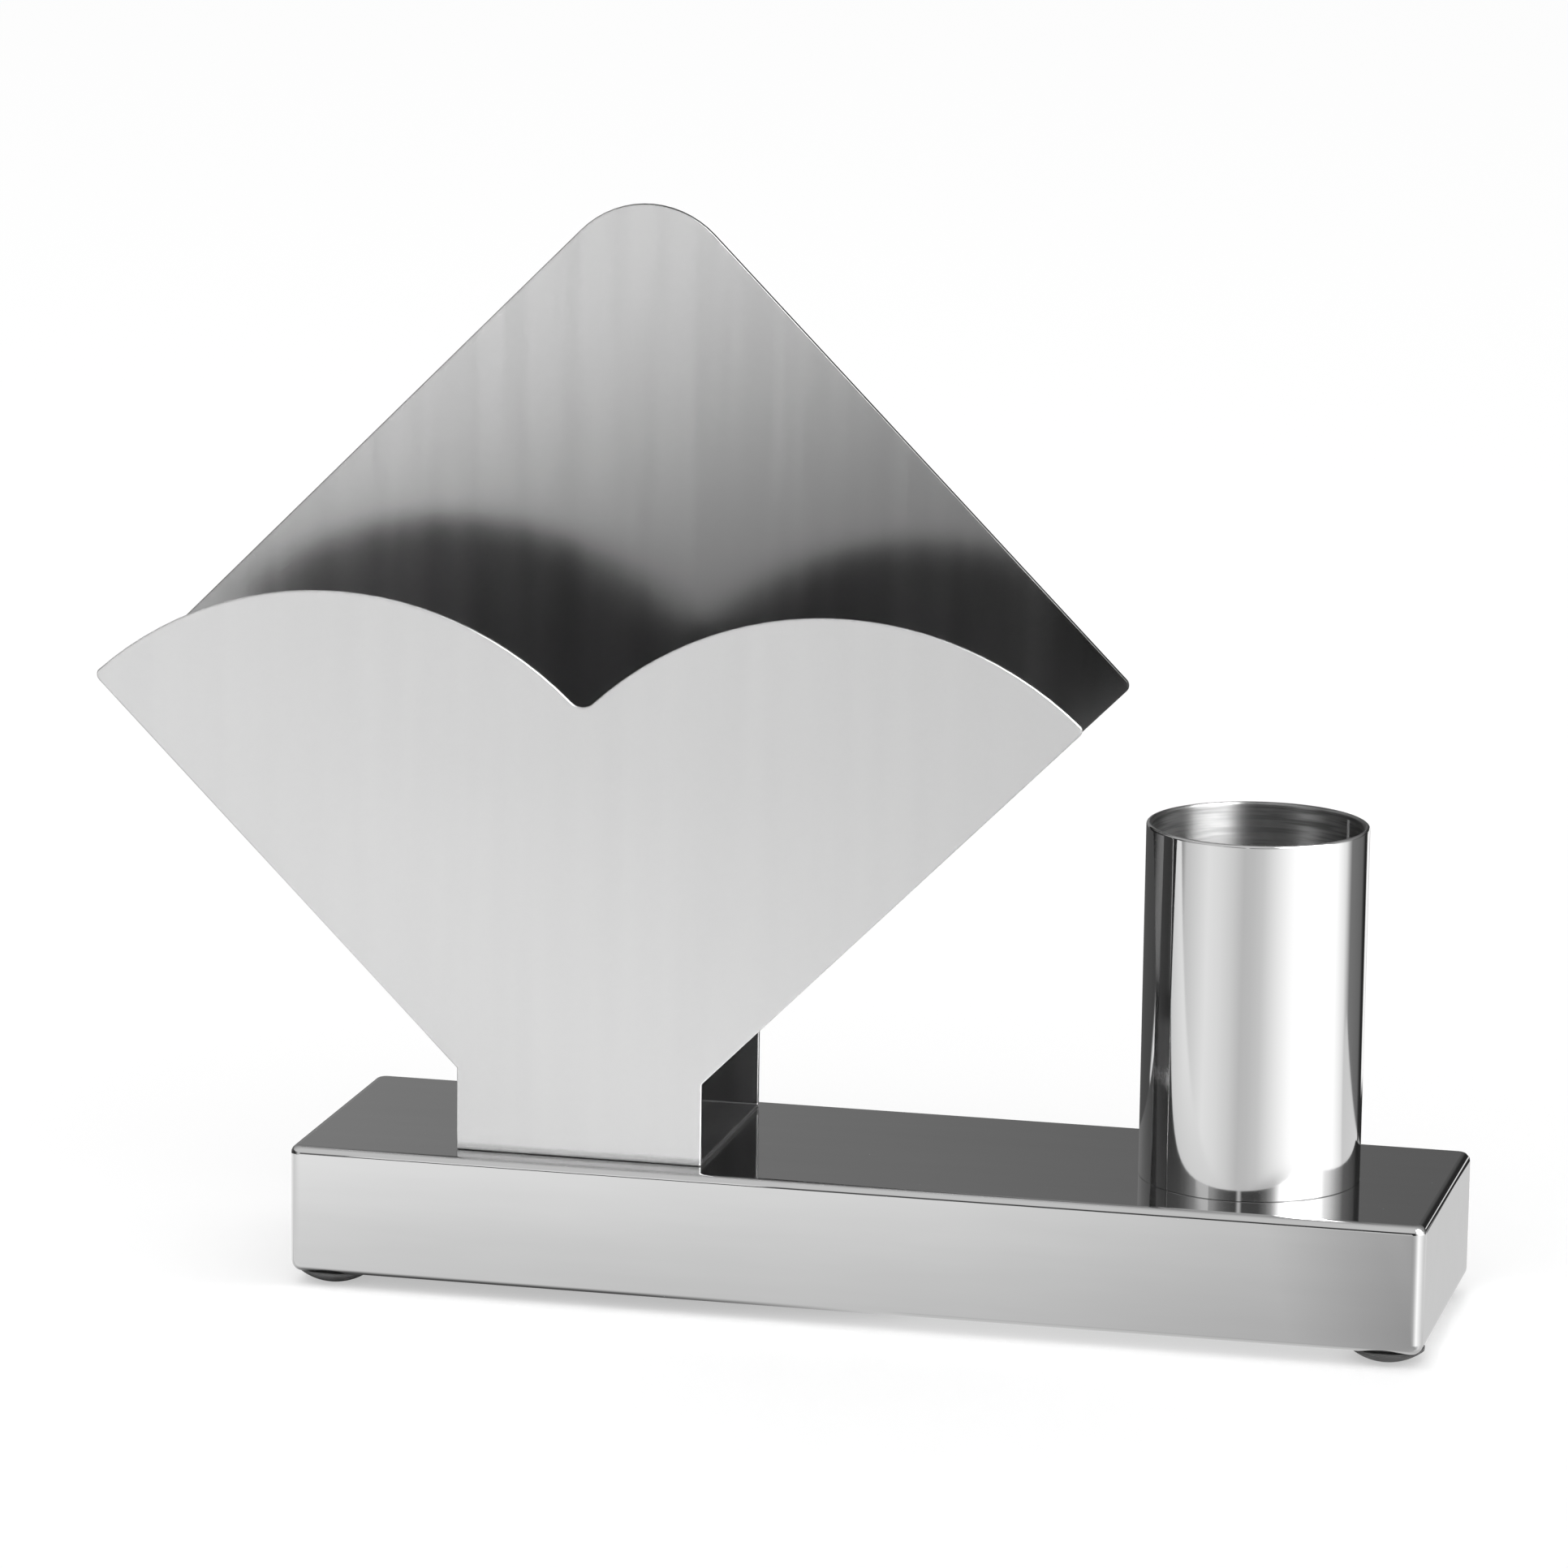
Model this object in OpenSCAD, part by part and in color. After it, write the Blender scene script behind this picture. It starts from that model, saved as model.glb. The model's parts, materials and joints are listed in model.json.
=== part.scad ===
// Stainless napkin holder: a rack folded from one sheet and a small tube cup for toothpicks,
// both bolted down on a low folded base that stands on four rubber feet.
// The origin is the middle of the overall outline, at the level that the feet stand on.
// The rack stands over the left end of the base, the cup near its right end, and -Y is the front.

/* [Base] */
// Length of the base from end to end
base_l = 165.6; // [150:0.1:220]
// Depth of the base from front to back
base_d = 46; // [42:0.1:60]
// Height of the base, without its feet
base_h = 18.8; // [14:0.1:30]
// Thickness of the base's sheet
base_t = 0.8; // [0.6:0.1:1]
// Outside radius of the upright corners
base_corner_r = 1.8; // [1.7:0.1:5]
// Outside radius of the top edges
base_edge_r = 1.2; // [1:0.1:1.7]
// Outside radius of the bends at the bottom
base_foot_r = 1.6; // [1.2:0.1:1.7]
// Width of the flange that is turned in under the base
flange_w = 11.5; // [10.9:0.1:14]
// Gap where an end flange stops beside a long one
flange_gap = 0.4; // [0.2:0.1:1]

/* [Rack] */
// Distance from the base's left end to the middle of the rack
rack_in = 42; // [32:0.1:60]
// Depth over both plates
rack_d = 36.2; // [28:0.1:40]
// Thickness of the rack's sheet
rack_t = 0.8; // [0.6:0.1:1.5]
// Outside radius of the two bends at the foot
rack_foot_r = 0.5; // [0.4:0.1:3]
// Width of the neck below the plates
neck_w = 36.3; // [32:0.1:48]
// Side of the square that both plates are cut from, standing on its corner
plate_side = 103; // [90:0.1:115]
// Height of that square's middle above the base
plate_h = 66.8; // [64:0.1:85]
// Radius of the back plate's top corner
crown_r = 14.1; // [4:0.1:30]
// Radius of the corners at the plates' two sides
tip_r = 1.2; // [0.5:0.1:4]
// Distance of each lobe's centre from the middle of the front plate
lobe_x = 37.3; // [32:0.1:42]
// Distance of the lobes' centres below the middle of the square
lobe_drop = 37.9; // [34:0.1:44]
// Radius at the bottom of the valley between the lobes
valley_r = 2.4; // [0.5:0.1:6]

/* [Cup] */
// Distance from the base's right end to the middle of the cup
cup_in = 28.9; // [20:0.1:34]
// Outside diameter of the cup's tube
cup_d = 31.75; // [25:0.05:38]
// Wall of the cup's tube
cup_t = 0.8; // [0.6:0.1:1.5]
// Height of the cup above the base
cup_h = 51.4; // [30:0.1:60]
// Thickness of the disc that closes the cup's foot
cup_floor_t = 1; // [0.6:0.1:2]
// Gap between that disc and the tube around it
cup_floor_gap = 0.1; // [0.05:0.05:0.3]

/* [Fixings] */
// Diameter of the studs welded under the rack and the cup
stud_d = 4; // [3:0.5:5]
// Distance between the rack's two studs
stud_pitch = 20; // [14:0.5:22]
// Length of stud that stands past its nut
stud_tail = 1.2; // [0.5:0.1:3]
// Chamfer at the end of a stud
stud_chamfer = 0.5; // [0.2:0.1:1]
// Gap between a stud and the edge of its hole in the base
hole_gap = 0.25; // [0.1:0.05:0.5]
// Gap between a stud and its washer
washer_gap = 0.15; // [0.1:0.05:0.4]
// Gap between a stud and its nut
nut_gap = 0.05; // [0.02:0.01:0.1]
// Outside diameter of the washers
washer_d = 9; // [8:0.5:12]
// Thickness of the washers
washer_t = 0.8; // [0.5:0.1:1.2]
// Width of the nuts across their flats
nut_w = 7; // [6.5:0.5:8]
// Thickness of the nuts
nut_h = 3.2; // [2.4:0.1:5]

/* [Feet] */
// Diameter of the rubber feet
foot_d = 10.5; // [8:0.1:10.8]
// Height of the rubber feet
foot_h = 1.9; // [1.5:0.1:5]
// Height of the straight rim that each foot has above its dome
foot_rim = 0.4; // [0.2:0.1:1]
// Diameter of the flat that each foot stands on
foot_flat_d = 4.5; // [2:0.1:7]
// Distance of a foot's middle from the front or the back of the base
foot_in = 5.6; // [5.5:0.1:6]
// Distance of a front foot's middle from the end of the base
foot_front_end = 5.6; // [5.5:0.1:6.2]
// Distance of a back foot's middle from the end of the base
foot_back_end = 6.2; // [5.5:0.1:6.2]

/* [Hidden] */
$fn = 96;

// How far a cut reaches past the face that it opens
reach = 1;
// Inside radii of the base's bends, never quite sharp
least_r = 0.2;
base_in_corner_r = base_corner_r - base_t;
base_in_edge_r = max(base_edge_r - base_t, least_r);
base_in_foot_r = max(base_foot_r - base_t, least_r);

// The square's corners lie this far from its middle, and its rounded tips a little less
half_diag = plate_side / sqrt(2);
tip_reach = half_diag - tip_r * (sqrt(2) - 1);
rack_in_foot_r = max(rack_foot_r - rack_t, least_r);
// Height at which the neck meets the lower edges of the square
neck_h = plate_h - half_diag + neck_w / 2;
// Each lobe passes through the tip on its own side
lobe_h = plate_h - lobe_drop;
lobe_r = sqrt(pow(half_diag - lobe_x, 2) + pow(lobe_drop, 2));
// The two lobes meet here, and the valley's rounding touches both
cusp_h = lobe_h + sqrt(pow(lobe_r, 2) - pow(lobe_x, 2));
valley_h = lobe_h + sqrt(pow(lobe_r + valley_r, 2) - pow(lobe_x, 2));
valley_touch = valley_r / (lobe_r + valley_r);
valley_touch_x = valley_touch * lobe_x;
valley_touch_h = valley_h - valley_touch * (valley_h - lobe_h);

// Places along the base, first from its middle, then from the origin
rack_off = rack_in - base_l / 2;
cup_off = base_l / 2 - cup_in;
left_end = min(-base_l / 2, rack_off - tip_reach);
right_end = max(base_l / 2, rack_off + tip_reach);
base_x = -(left_end + right_end) / 2;
rack_x = base_x + rack_off;
cup_x = base_x + cup_off;
stud_places = [rack_x - stud_pitch / 2, rack_x + stud_pitch / 2, cup_x];

// Levels
top_z = foot_h + base_h;
washer_z = top_z - base_t - washer_t;
nut_z = washer_z - nut_h;
stud_l = base_t + washer_t + nut_h + stud_tail;

// Dome of a foot: a ball through the rim's lower edge and the edge of the flat
dome_h = foot_h - foot_rim;
dome_z = (pow(foot_d / 2, 2) - pow(foot_flat_d / 2, 2) + pow(dome_h, 2)) / (2 * dome_h);
dome_r = sqrt(pow(foot_flat_d / 2, 2) + pow(dome_z, 2));

// What a rounding takes off a square corner, with the centre of the rounding at the origin
module corner_waste(r) {
    difference() {
        square(r + reach);
        circle(r);
    }
}

// Outline that stands on the X axis, square at the top and rounded at the foot
module round_foot(w, h, foot_r) {
    difference() {
        translate([-w / 2, 0]) square([w, h]);
        for (side = [0, 1]) {
            mirror([side, 0, 0]) translate([w / 2 - foot_r, foot_r]) mirror([0, 1, 0]) corner_waste(foot_r);
        }
    }
}

// The same outline, rounded at the top too
module round_both(w, h, top_r, foot_r) {
    difference() {
        round_foot(w, h, foot_r);
        for (side = [0, 1]) {
            mirror([side, 0, 0]) translate([w / 2 - top_r, h - top_r]) corner_waste(top_r);
        }
    }
}

// Extrudes an outline drawn in width and height along X, over a length centred on the origin
module along_x(length) {
    translate([-length / 2, 0, 0]) rotate([90, 0, 90]) linear_extrude(length) children();
}

// Extrudes an outline drawn in width and height along Y, over a depth centred on the origin
module along_y(depth) {
    translate([0, depth / 2, 0]) rotate([90, 0, 0]) linear_extrude(depth) children();
}

// Block with rounded edges all round, standing on the origin: a post at each corner and two bars across
module rounded_block(l, d, h, corner_r, edge_r, foot_r) {
    for (end = [-1, 1], face = [-1, 1]) {
        translate([end * (l / 2 - corner_r), face * (d / 2 - corner_r), 0]) rotate_extrude() intersection() {
            round_both(2 * corner_r, h, edge_r, foot_r);
            square([corner_r, h]);
        }
    }
    along_x(l - 2 * corner_r) round_both(d, h, edge_r, foot_r);
    along_y(d - 2 * corner_r) round_both(l, h, edge_r, foot_r);
}

// Folded base, open underneath inside its turned-in flanges
module base_shell() {
    color("silver") translate([base_x, 0, foot_h]) difference() {
        rounded_block(base_l, base_d, base_h, base_corner_r, base_edge_r, base_foot_r);
        translate([0, 0, base_t])
            rounded_block(base_l - 2 * base_t, base_d - 2 * base_t, base_h - 2 * base_t,
                          base_in_corner_r, base_in_edge_r, base_in_foot_r);
        flange_opening();
        flange_seams();
        stud_holes();
    }
}

module flange_opening() {
    opening = [base_l - 2 * flange_w, base_d - 2 * flange_w, base_t + 2 * reach];
    translate([-opening[0] / 2, -opening[1] / 2, -reach]) cube(opening);
}

// The front and back flanges run the whole length, and the end flanges stop between them
module flange_seams() {
    seam = [flange_w - base_foot_r + reach, flange_gap, base_t + 2 * reach];
    for (end = [0, 1], face = [0, 1]) {
        mirror([end, 0, 0]) mirror([0, face, 0])
            translate([base_l / 2 - flange_w - reach, base_d / 2 - flange_w - flange_gap, -reach]) cube(seam);
    }
}

module stud_holes() {
    for (x = stud_places) {
        translate([x - base_x, 0, base_h - base_t - reach])
            cylinder(r = stud_d / 2 + hole_gap, h = base_t + 2 * reach);
    }
}

// The square that the plates are cut from, standing on its corner, with its own crown radius
module plate_square(top_r) {
    translate([0, plate_h]) rotate(45) difference() {
        square(plate_side, center = true);
        square_corner_waste(0, top_r);
        square_corner_waste(90, tip_r);
        square_corner_waste(-90, tip_r);
    }
}

module square_corner_waste(turn, r) {
    rotate(turn) translate([plate_side / 2 - r, plate_side / 2 - r]) corner_waste(r);
}

module neck_outline() {
    translate([-neck_w / 2, 0]) square([neck_w, neck_h]);
}

// Two round lobes, with the valley between them rounded out
module lobes() {
    for (side = [-1, 1]) {
        translate([side * lobe_x, lobe_h]) circle(lobe_r);
    }
    difference() {
        polygon([[-valley_touch_x, valley_touch_h], [0, cusp_h - reach], [valley_touch_x, valley_touch_h]]);
        translate([0, valley_h]) circle(valley_r);
    }
}

module front_outline() {
    neck_outline();
    intersection() {
        plate_square(tip_r);
        lobes();
    }
}

module back_outline() {
    neck_outline();
    plate_square(crown_r);
}

// End view of the sheet folded into a U
module channel_outline() {
    difference() {
        round_foot(rack_d, plate_h + half_diag, rack_foot_r);
        translate([0, rack_t]) round_foot(rack_d - 2 * rack_t, plate_h + half_diag, rack_in_foot_r);
    }
}

// Rack for the napkins: one folded sheet, whose front and back plates have their own outlines
module napkin_rack() {
    half_d = rack_d / 2 + reach;
    color("gainsboro") translate([rack_x, 0, top_z]) intersection() {
        along_x(2 * half_diag) channel_outline();
        union() {
            translate([0, -half_d / 2, 0]) along_y(half_d) front_outline();
            translate([0, half_d / 2, 0]) along_y(half_d) back_outline();
        }
    }
}

// Stud that hangs from the underside of what it is welded to
module weld_stud(x) {
    color("silver") translate([x, 0, top_z - stud_l]) {
        cylinder(r1 = stud_d / 2 - stud_chamfer, r2 = stud_d / 2, h = stud_chamfer);
        translate([0, 0, stud_chamfer]) cylinder(r = stud_d / 2, h = stud_l - stud_chamfer);
    }
}

module washer(x) {
    color("silver") translate([x, 0, washer_z]) difference() {
        cylinder(r = washer_d / 2, h = washer_t);
        translate([0, 0, -reach]) cylinder(r = stud_d / 2 + washer_gap, h = washer_t + 2 * reach);
    }
}

// Hexagon nut, its corners chamfered at both faces down to a circle across the flats
module hex_nut(x) {
    corner_r = nut_w / 2 / cos(30);
    chamfer_h = (corner_r - nut_w / 2) * tan(30);
    color("silver") translate([x, 0, nut_z]) difference() {
        intersection() {
            cylinder(r = corner_r, h = nut_h, $fn = 6);
            rotate_extrude() polygon([
                [0, 0], [nut_w / 2, 0], [corner_r, chamfer_h],
                [corner_r, nut_h - chamfer_h], [nut_w / 2, nut_h], [0, nut_h]
            ]);
        }
        translate([0, 0, -reach]) cylinder(r = stud_d / 2 + nut_gap, h = nut_h + 2 * reach);
    }
}

module rack_stud_left() { weld_stud(stud_places[0]); }
module rack_stud_right() { weld_stud(stud_places[1]); }
module rack_washer_left() { washer(stud_places[0]); }
module rack_washer_right() { washer(stud_places[1]); }
module rack_nut_left() { hex_nut(stud_places[0]); }
module rack_nut_right() { hex_nut(stud_places[1]); }
module cup_stud() { weld_stud(stud_places[2]); }
module cup_washer() { washer(stud_places[2]); }
module cup_nut() { hex_nut(stud_places[2]); }

// Tube of the cup, with a fully rounded rim
module cup_tube() {
    color("silver") translate([cup_x, 0, top_z]) rotate_extrude() {
        translate([cup_d / 2 - cup_t, 0]) square([cup_t, cup_h - cup_t / 2]);
        translate([cup_d / 2 - cup_t / 2, cup_h - cup_t / 2]) circle(cup_t / 2);
    }
}

// Disc inside the tube's foot, which closes the cup and carries its stud
module cup_floor() {
    color("silver") translate([cup_x, 0, top_z])
        cylinder(r = cup_d / 2 - cup_t - cup_floor_gap, h = cup_floor_t);
}

// Rubber foot: a short straight rim over a dome with a small flat
module rubber_foot(end, face) {
    end_in = face < 0 ? foot_front_end : foot_back_end;
    color("dimgray") translate([base_x + end * (base_l / 2 - end_in), face * (base_d / 2 - foot_in), 0])
        rotate_extrude() {
            translate([0, dome_h]) square([foot_d / 2, foot_rim]);
            intersection() {
                translate([0, dome_z]) circle(dome_r);
                square([foot_d / 2, dome_h]);
            }
        }
}

module foot_front_left() { rubber_foot(-1, -1); }
module foot_front_right() { rubber_foot(1, -1); }
module foot_back_left() { rubber_foot(-1, 1); }
module foot_back_right() { rubber_foot(1, 1); }

base_shell();
napkin_rack();
rack_stud_left();
rack_stud_right();
rack_washer_left();
rack_washer_right();
rack_nut_left();
rack_nut_right();
cup_tube();
cup_floor();
cup_stud();
cup_washer();
cup_nut();
foot_front_left();
foot_front_right();
foot_back_left();
foot_back_right();
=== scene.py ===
"""Looks of a stainless napkin holder: a folded rack and a toothpick cup on a low base with rubber feet.

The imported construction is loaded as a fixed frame. This file dresses it: it finishes the metal and the
rubber, breaks the rack's cut edges, rounds and seams the cup, cuts the studs' threads, and sets up a plain
studio. It is laid out as an add-on and run as a script. Lengths are metres, and the front is -Y."""

import json
import math

import bmesh
import bpy
from bpy.props import FloatProperty, FloatVectorProperty, IntProperty, PointerProperty
from mathutils import Matrix, Vector

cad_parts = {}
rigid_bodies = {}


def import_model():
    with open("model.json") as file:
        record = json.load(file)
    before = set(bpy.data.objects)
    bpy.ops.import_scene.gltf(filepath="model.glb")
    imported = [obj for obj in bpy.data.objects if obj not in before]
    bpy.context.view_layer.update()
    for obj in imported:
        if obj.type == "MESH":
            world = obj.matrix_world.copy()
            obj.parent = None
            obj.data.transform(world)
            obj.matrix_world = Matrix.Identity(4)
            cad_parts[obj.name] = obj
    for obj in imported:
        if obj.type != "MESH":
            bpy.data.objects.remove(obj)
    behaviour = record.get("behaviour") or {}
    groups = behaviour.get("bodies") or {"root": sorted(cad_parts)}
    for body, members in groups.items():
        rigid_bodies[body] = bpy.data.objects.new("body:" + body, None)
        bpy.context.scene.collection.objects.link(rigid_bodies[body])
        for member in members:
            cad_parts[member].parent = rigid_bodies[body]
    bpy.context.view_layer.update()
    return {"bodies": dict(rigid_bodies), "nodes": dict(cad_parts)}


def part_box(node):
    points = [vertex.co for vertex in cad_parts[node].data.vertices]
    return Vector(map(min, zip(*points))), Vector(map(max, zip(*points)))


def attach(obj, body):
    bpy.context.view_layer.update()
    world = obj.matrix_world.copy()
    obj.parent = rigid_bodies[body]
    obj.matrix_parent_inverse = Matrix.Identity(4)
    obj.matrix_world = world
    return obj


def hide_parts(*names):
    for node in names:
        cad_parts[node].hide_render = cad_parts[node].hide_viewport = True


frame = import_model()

bl_info = {
    "name": "Stainless napkin holder",
    "version": (1, 0, 0),
    "blender": (4, 5, 0),
    "location": "View3D > Sidebar > Napkin holder",
    "description": "Finishes a stainless napkin holder with a toothpick cup and lights it in a plain studio",
    "category": "Object",
}

BODY = next(iter(frame["bodies"]))
NODES = frame["nodes"]

MM = 0.001
MERGE_DISTANCE = 0.001 * MM
FLAT_ANGLE = math.radians(0.5)
CUT_ANGLE = math.radians(60)
CREASE_ANGLE = math.radians(35)
FULL_TURN = 2 * math.pi
DEGREES = 180 / math.pi
RAMP_TOP = 2.0

STUDS = ("rack_stud_left", "rack_stud_right", "cup_stud")
WASHERS = ("rack_washer_left", "rack_washer_right", "cup_washer")
NUTS = ("rack_nut_left", "rack_nut_right", "cup_nut")
FEET = ("foot_front_left", "foot_front_right", "foot_back_left", "foot_back_right")

# The photo's camera: its side in pixels, and where it stands round the point that it looks at
PHOTO_SIDE = 1932
FOCAL_PIXELS = 9236.9
SENSOR_WIDTH = 36.0
CAMERA_TARGET = Vector((-0.0001635, 0, 0.073651))
CAMERA_DISTANCE = 1.07964
CAMERA_AZIMUTH = math.radians(13.131)
CAMERA_ELEVATION = math.radians(11.506)
CAMERA_ROLL = math.radians(0.794)
CAMERA_CLIP = (0.05, 20)


def centre_of(node):
    """Middle of a CAD node's box."""
    low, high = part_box(node)
    return (low + high) / 2


class Value:
    """A number or colour that changes over a surface. Arithmetic on it adds Math nodes."""

    def __init__(self, nodes, socket):
        self.nodes = nodes
        self.socket = socket

    def math(self, operation, *others):
        return self.nodes.add("ShaderNodeMath", {"operation": operation}, dict(enumerate((self, *others))))

    def __add__(self, other):
        return self.math("ADD", other)

    __radd__ = __add__

    def __sub__(self, other):
        return self.math("SUBTRACT", other)

    def __rsub__(self, other):
        return self.reflected("SUBTRACT", other)

    def __mul__(self, other):
        return self.math("MULTIPLY", other)

    __rmul__ = __mul__

    def __truediv__(self, other):
        return self.math("DIVIDE", other)

    def __rtruediv__(self, other):
        return self.reflected("DIVIDE", other)

    def reflected(self, operation, other):
        """The operation with the other value first."""
        return self.nodes.add("ShaderNodeMath", {"operation": operation}, {0: other, 1: self})

    def mix(self, other, factor):
        """This value where factor is 0, and the other where it is 1."""
        return self.nodes.add("ShaderNodeMix", {"data_type": "FLOAT"}, {0: factor, 2: self, 3: other})

    def rise(self, low, high):
        """0 below low and 1 above high, with a smooth step between them."""
        return self.nodes.add("ShaderNodeMapRange", {"interpolation_type": "SMOOTHSTEP"},
                              {"Value": self, "From Min": low, "From Max": high})

    def past(self, place, soft):
        """0 before place and 1 past it, with a step that reaches soft to each side."""
        return self.rise(place - soft, place + soft)

    def band(self, low, high, soft):
        """1 between low and high and 0 outside, with a step that reaches soft to each side of both."""
        return self.past(low, soft) * (1 - self.past(high, soft))


class Nodes:
    """Adds nodes to the tree of one material or world."""

    def __init__(self, owner):
        owner.use_nodes = True
        self.tree = owner.node_tree
        self.tree.nodes.clear()

    def add(self, kind, settings=None, inputs=None, output=0):
        """Adds a node, sets it up, feeds its sockets and returns one of its outputs."""
        node = self.tree.nodes.new(kind)
        for name, setting in (settings or {}).items():
            if name == "stops":
                self.set_stops(node.color_ramp, setting)
            else:
                setattr(node, name, setting)
        for key, value in (inputs or {}).items():
            if isinstance(value, Value):
                self.tree.links.new(value.socket, node.inputs[key])
            else:
                node.inputs[key].default_value = value
        return Value(self, node.outputs[output]) if node.outputs else node

    @staticmethod
    def set_stops(ramp, stops):
        while len(ramp.elements) < len(stops):
            ramp.elements.new(1.0)
        for element, (place, level) in zip(ramp.elements, stops):
            element.position = place
            element.color = (level, level, level, 1.0)

    def axes(self, vector):
        """The three coordinates of a vector."""
        split = self.add("ShaderNodeSeparateXYZ", None, {0: vector}).socket.node
        return [Value(self, output) for output in split.outputs]

    def length(self, x, y):
        return (x * x + y * y).math("SQRT")

    def azimuth(self, x, y):
        """Direction in degrees from +X, counter-clockwise seen from above."""
        return y.math("ARCTAN2", x) * DEGREES

    def steps(self, value, levels):
        """A level that changes evenly from each stop to the next."""
        first, last = levels[0][0], levels[-1][0]
        stops = [((place - first) / (last - first), level / RAMP_TOP) for place, level in levels]
        ramp = self.add("ShaderNodeValToRGB", {"stops": stops}, {0: (value - first) / (last - first)})
        return self.add("ShaderNodeSeparateColor", None, {0: ramp}) * RAMP_TOP

    def ray(self, kind):
        path = self.add("ShaderNodeLightPath").socket.node
        return Value(self, path.outputs[kind])

    def object_place(self):
        """The surface's own place in the part's frame."""
        return self.add("ShaderNodeTexCoord", output="Object")

    def stretched(self, vector, scale):
        return self.add("ShaderNodeMapping", None, {"Vector": vector, "Scale": scale})

    def noise(self, vector, scale, detail=2.0):
        return self.add("ShaderNodeTexNoise", None, {"Vector": vector, "Scale": scale, "Detail": detail})

    def lines(self, place, squeeze, scale, detail=2.0):
        """Noise drawn out along the axes whose squeeze is small."""
        return self.noise(self.stretched(place, squeeze), scale, detail)

    def tint(self, colour, low, high, factor):
        """A colour that goes from low to high times itself as factor goes from 0 to 1."""
        ends = {6: scaled(colour, low), 7: scaled(colour, high)}
        return self.add("ShaderNodeMix", {"data_type": "RGBA"}, {0: factor, **ends}, output=2)

    def shade(self, colour, level):
        """A colour times a level that varies."""
        return self.add("ShaderNodeVectorMath", {"operation": "SCALE"}, {0: colour, "Scale": level})

    def bump(self, height, distance):
        return self.add("ShaderNodeBump", None, {"Height": height, "Distance": distance, "Strength": 1.0})

    def principled(self, **sockets):
        """A Principled shader, with socket names written with underscores."""
        inputs = {name.replace("_", " "): value for name, value in sockets.items()}
        return self.add("ShaderNodeBsdfPrincipled", None, inputs)

    def surface(self, **sockets):
        """The material's only shader."""
        self.finish(self.principled(**sockets), "ShaderNodeOutputMaterial")

    def finish(self, shader, kind):
        self.add(kind, None, {"Surface": shader})


def scaled(colour, share):
    return (colour[0] * share, colour[1] * share, colour[2] * share, 1.0)


def new_material(name):
    """An empty material, its nodes, and the surface's place for them."""
    material = bpy.data.materials.new(name)
    nodes = Nodes(material)
    return material, nodes, nodes.object_place()


def satin_steel(settings):
    """Sheet brushed along the plates' height. Across the grain is X everywhere, over the bends too.

    The inside is painted darker than the outside, most of all low down and to the right: painted shade standing
    in for the shade between the plates and the front plate's dark reflection. The back plate's right corner
    inside is darkened as a painted reflection, and its cut edge as painted shade. These shades were fitted to
    the photo's brightness."""
    material, nodes, place = new_material("brushed_satin_steel")
    fine = nodes.lines(place, (1.0, 0.02, 0.02), settings.grain_density)
    broad = nodes.lines(place, (1.0, 0.04, 0.04), settings.grain_density / 12, 4.0)
    streak = nodes.lines(place, (1.0, 0.06, 0.06), settings.streak_density, 4.0).rise(0.35, 0.65)
    cloud = nodes.noise(place, 18.0)
    grain = fine * 0.75 + broad * 0.25
    low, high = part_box("napkin_rack")
    inner_face = high.y - settings.rack_sheet
    x, y, z = nodes.axes(place)
    inside = 1 - y.math("ABSOLUTE").past(inner_face + 0.15 * MM, 0.1 * MM)
    # Painted shade: the inside darkens low down and more to the right, standing in for the shade between the
    # plates and the front plate's dark reflection in the back plate
    height = z - (x - (low.x + high.x) / 2) * settings.shade_slope
    depth = inside * (1 - height.rise(settings.shade_start, settings.shade_end))
    colour = nodes.tint(settings.steel, 1.0, settings.inside_shade, depth)
    unevenness = (grain * 0.4 + cloud * 0.6 - 0.5) * 0.03 + (streak - 0.5) * inside * 0.09
    # Painted reflection: the back plate's right corner is darker inside
    painted_corner_reflection = inside * y.rise(0.0, MM) * x.past(high.x - 9 * MM, 7 * MM) * settings.corner_shade
    # Painted shade: the back plate's cut edge, above 82.5 mm, is darkened to a thin dark line
    cut_edge = y.band(inner_face + 0.04 * MM, high.y - 0.04 * MM, 0.02 * MM)
    painted_edge_shade = cut_edge * z.past(82.5 * MM, 2.5 * MM) * settings.edge_shade
    colour = nodes.shade(colour, 1 + unevenness)
    colour = nodes.shade(colour, (1 - painted_corner_reflection) * (1 - painted_edge_shade))
    relief = nodes.bump(grain, settings.grain_depth)
    fine_lobe = nodes.principled(
        Base_Color=colour,
        Metallic=1.0,
        Roughness=settings.satin_roughness + (grain * 0.3 + streak * 0.7) * settings.satin_spread,
        Anisotropic=0.6,
        Normal=relief,
    )
    wide_lobe = nodes.principled(
        Base_Color=colour,
        Metallic=1.0,
        Roughness=settings.haze_roughness + grain * 0.1,
        Normal=relief,
    )
    share = settings.haze_share * (0.6 + broad * 0.8)
    both = nodes.add("ShaderNodeMixShader", None, {0: share, 1: fine_lobe, 2: wide_lobe})
    nodes.finish(both, "ShaderNodeOutputMaterial")
    return material


def polished_steel(settings):
    """Mirror-polished sheet, with the faint unevenness and hairline marks that polishing leaves."""
    material, nodes, place = new_material("mirror_polished_steel")
    wave = nodes.noise(place, 30.0, 1.0)
    wipe = nodes.lines(place, (0.12, 1.0, 1.0), 260.0, 3.0)
    hairs = nodes.lines(place, (0.03, 1.0, 1.0), 3000.0)
    nodes.surface(
        Base_Color=nodes.tint(settings.steel, 0.93, 1.07, wave * 0.4 + wipe * 0.6),
        Metallic=1.0,
        Roughness=settings.polish_roughness + hairs.rise(0.55, 0.8) * 0.03,
        Normal=nodes.bump(wave, 0.004 * MM),
    )
    return material


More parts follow.
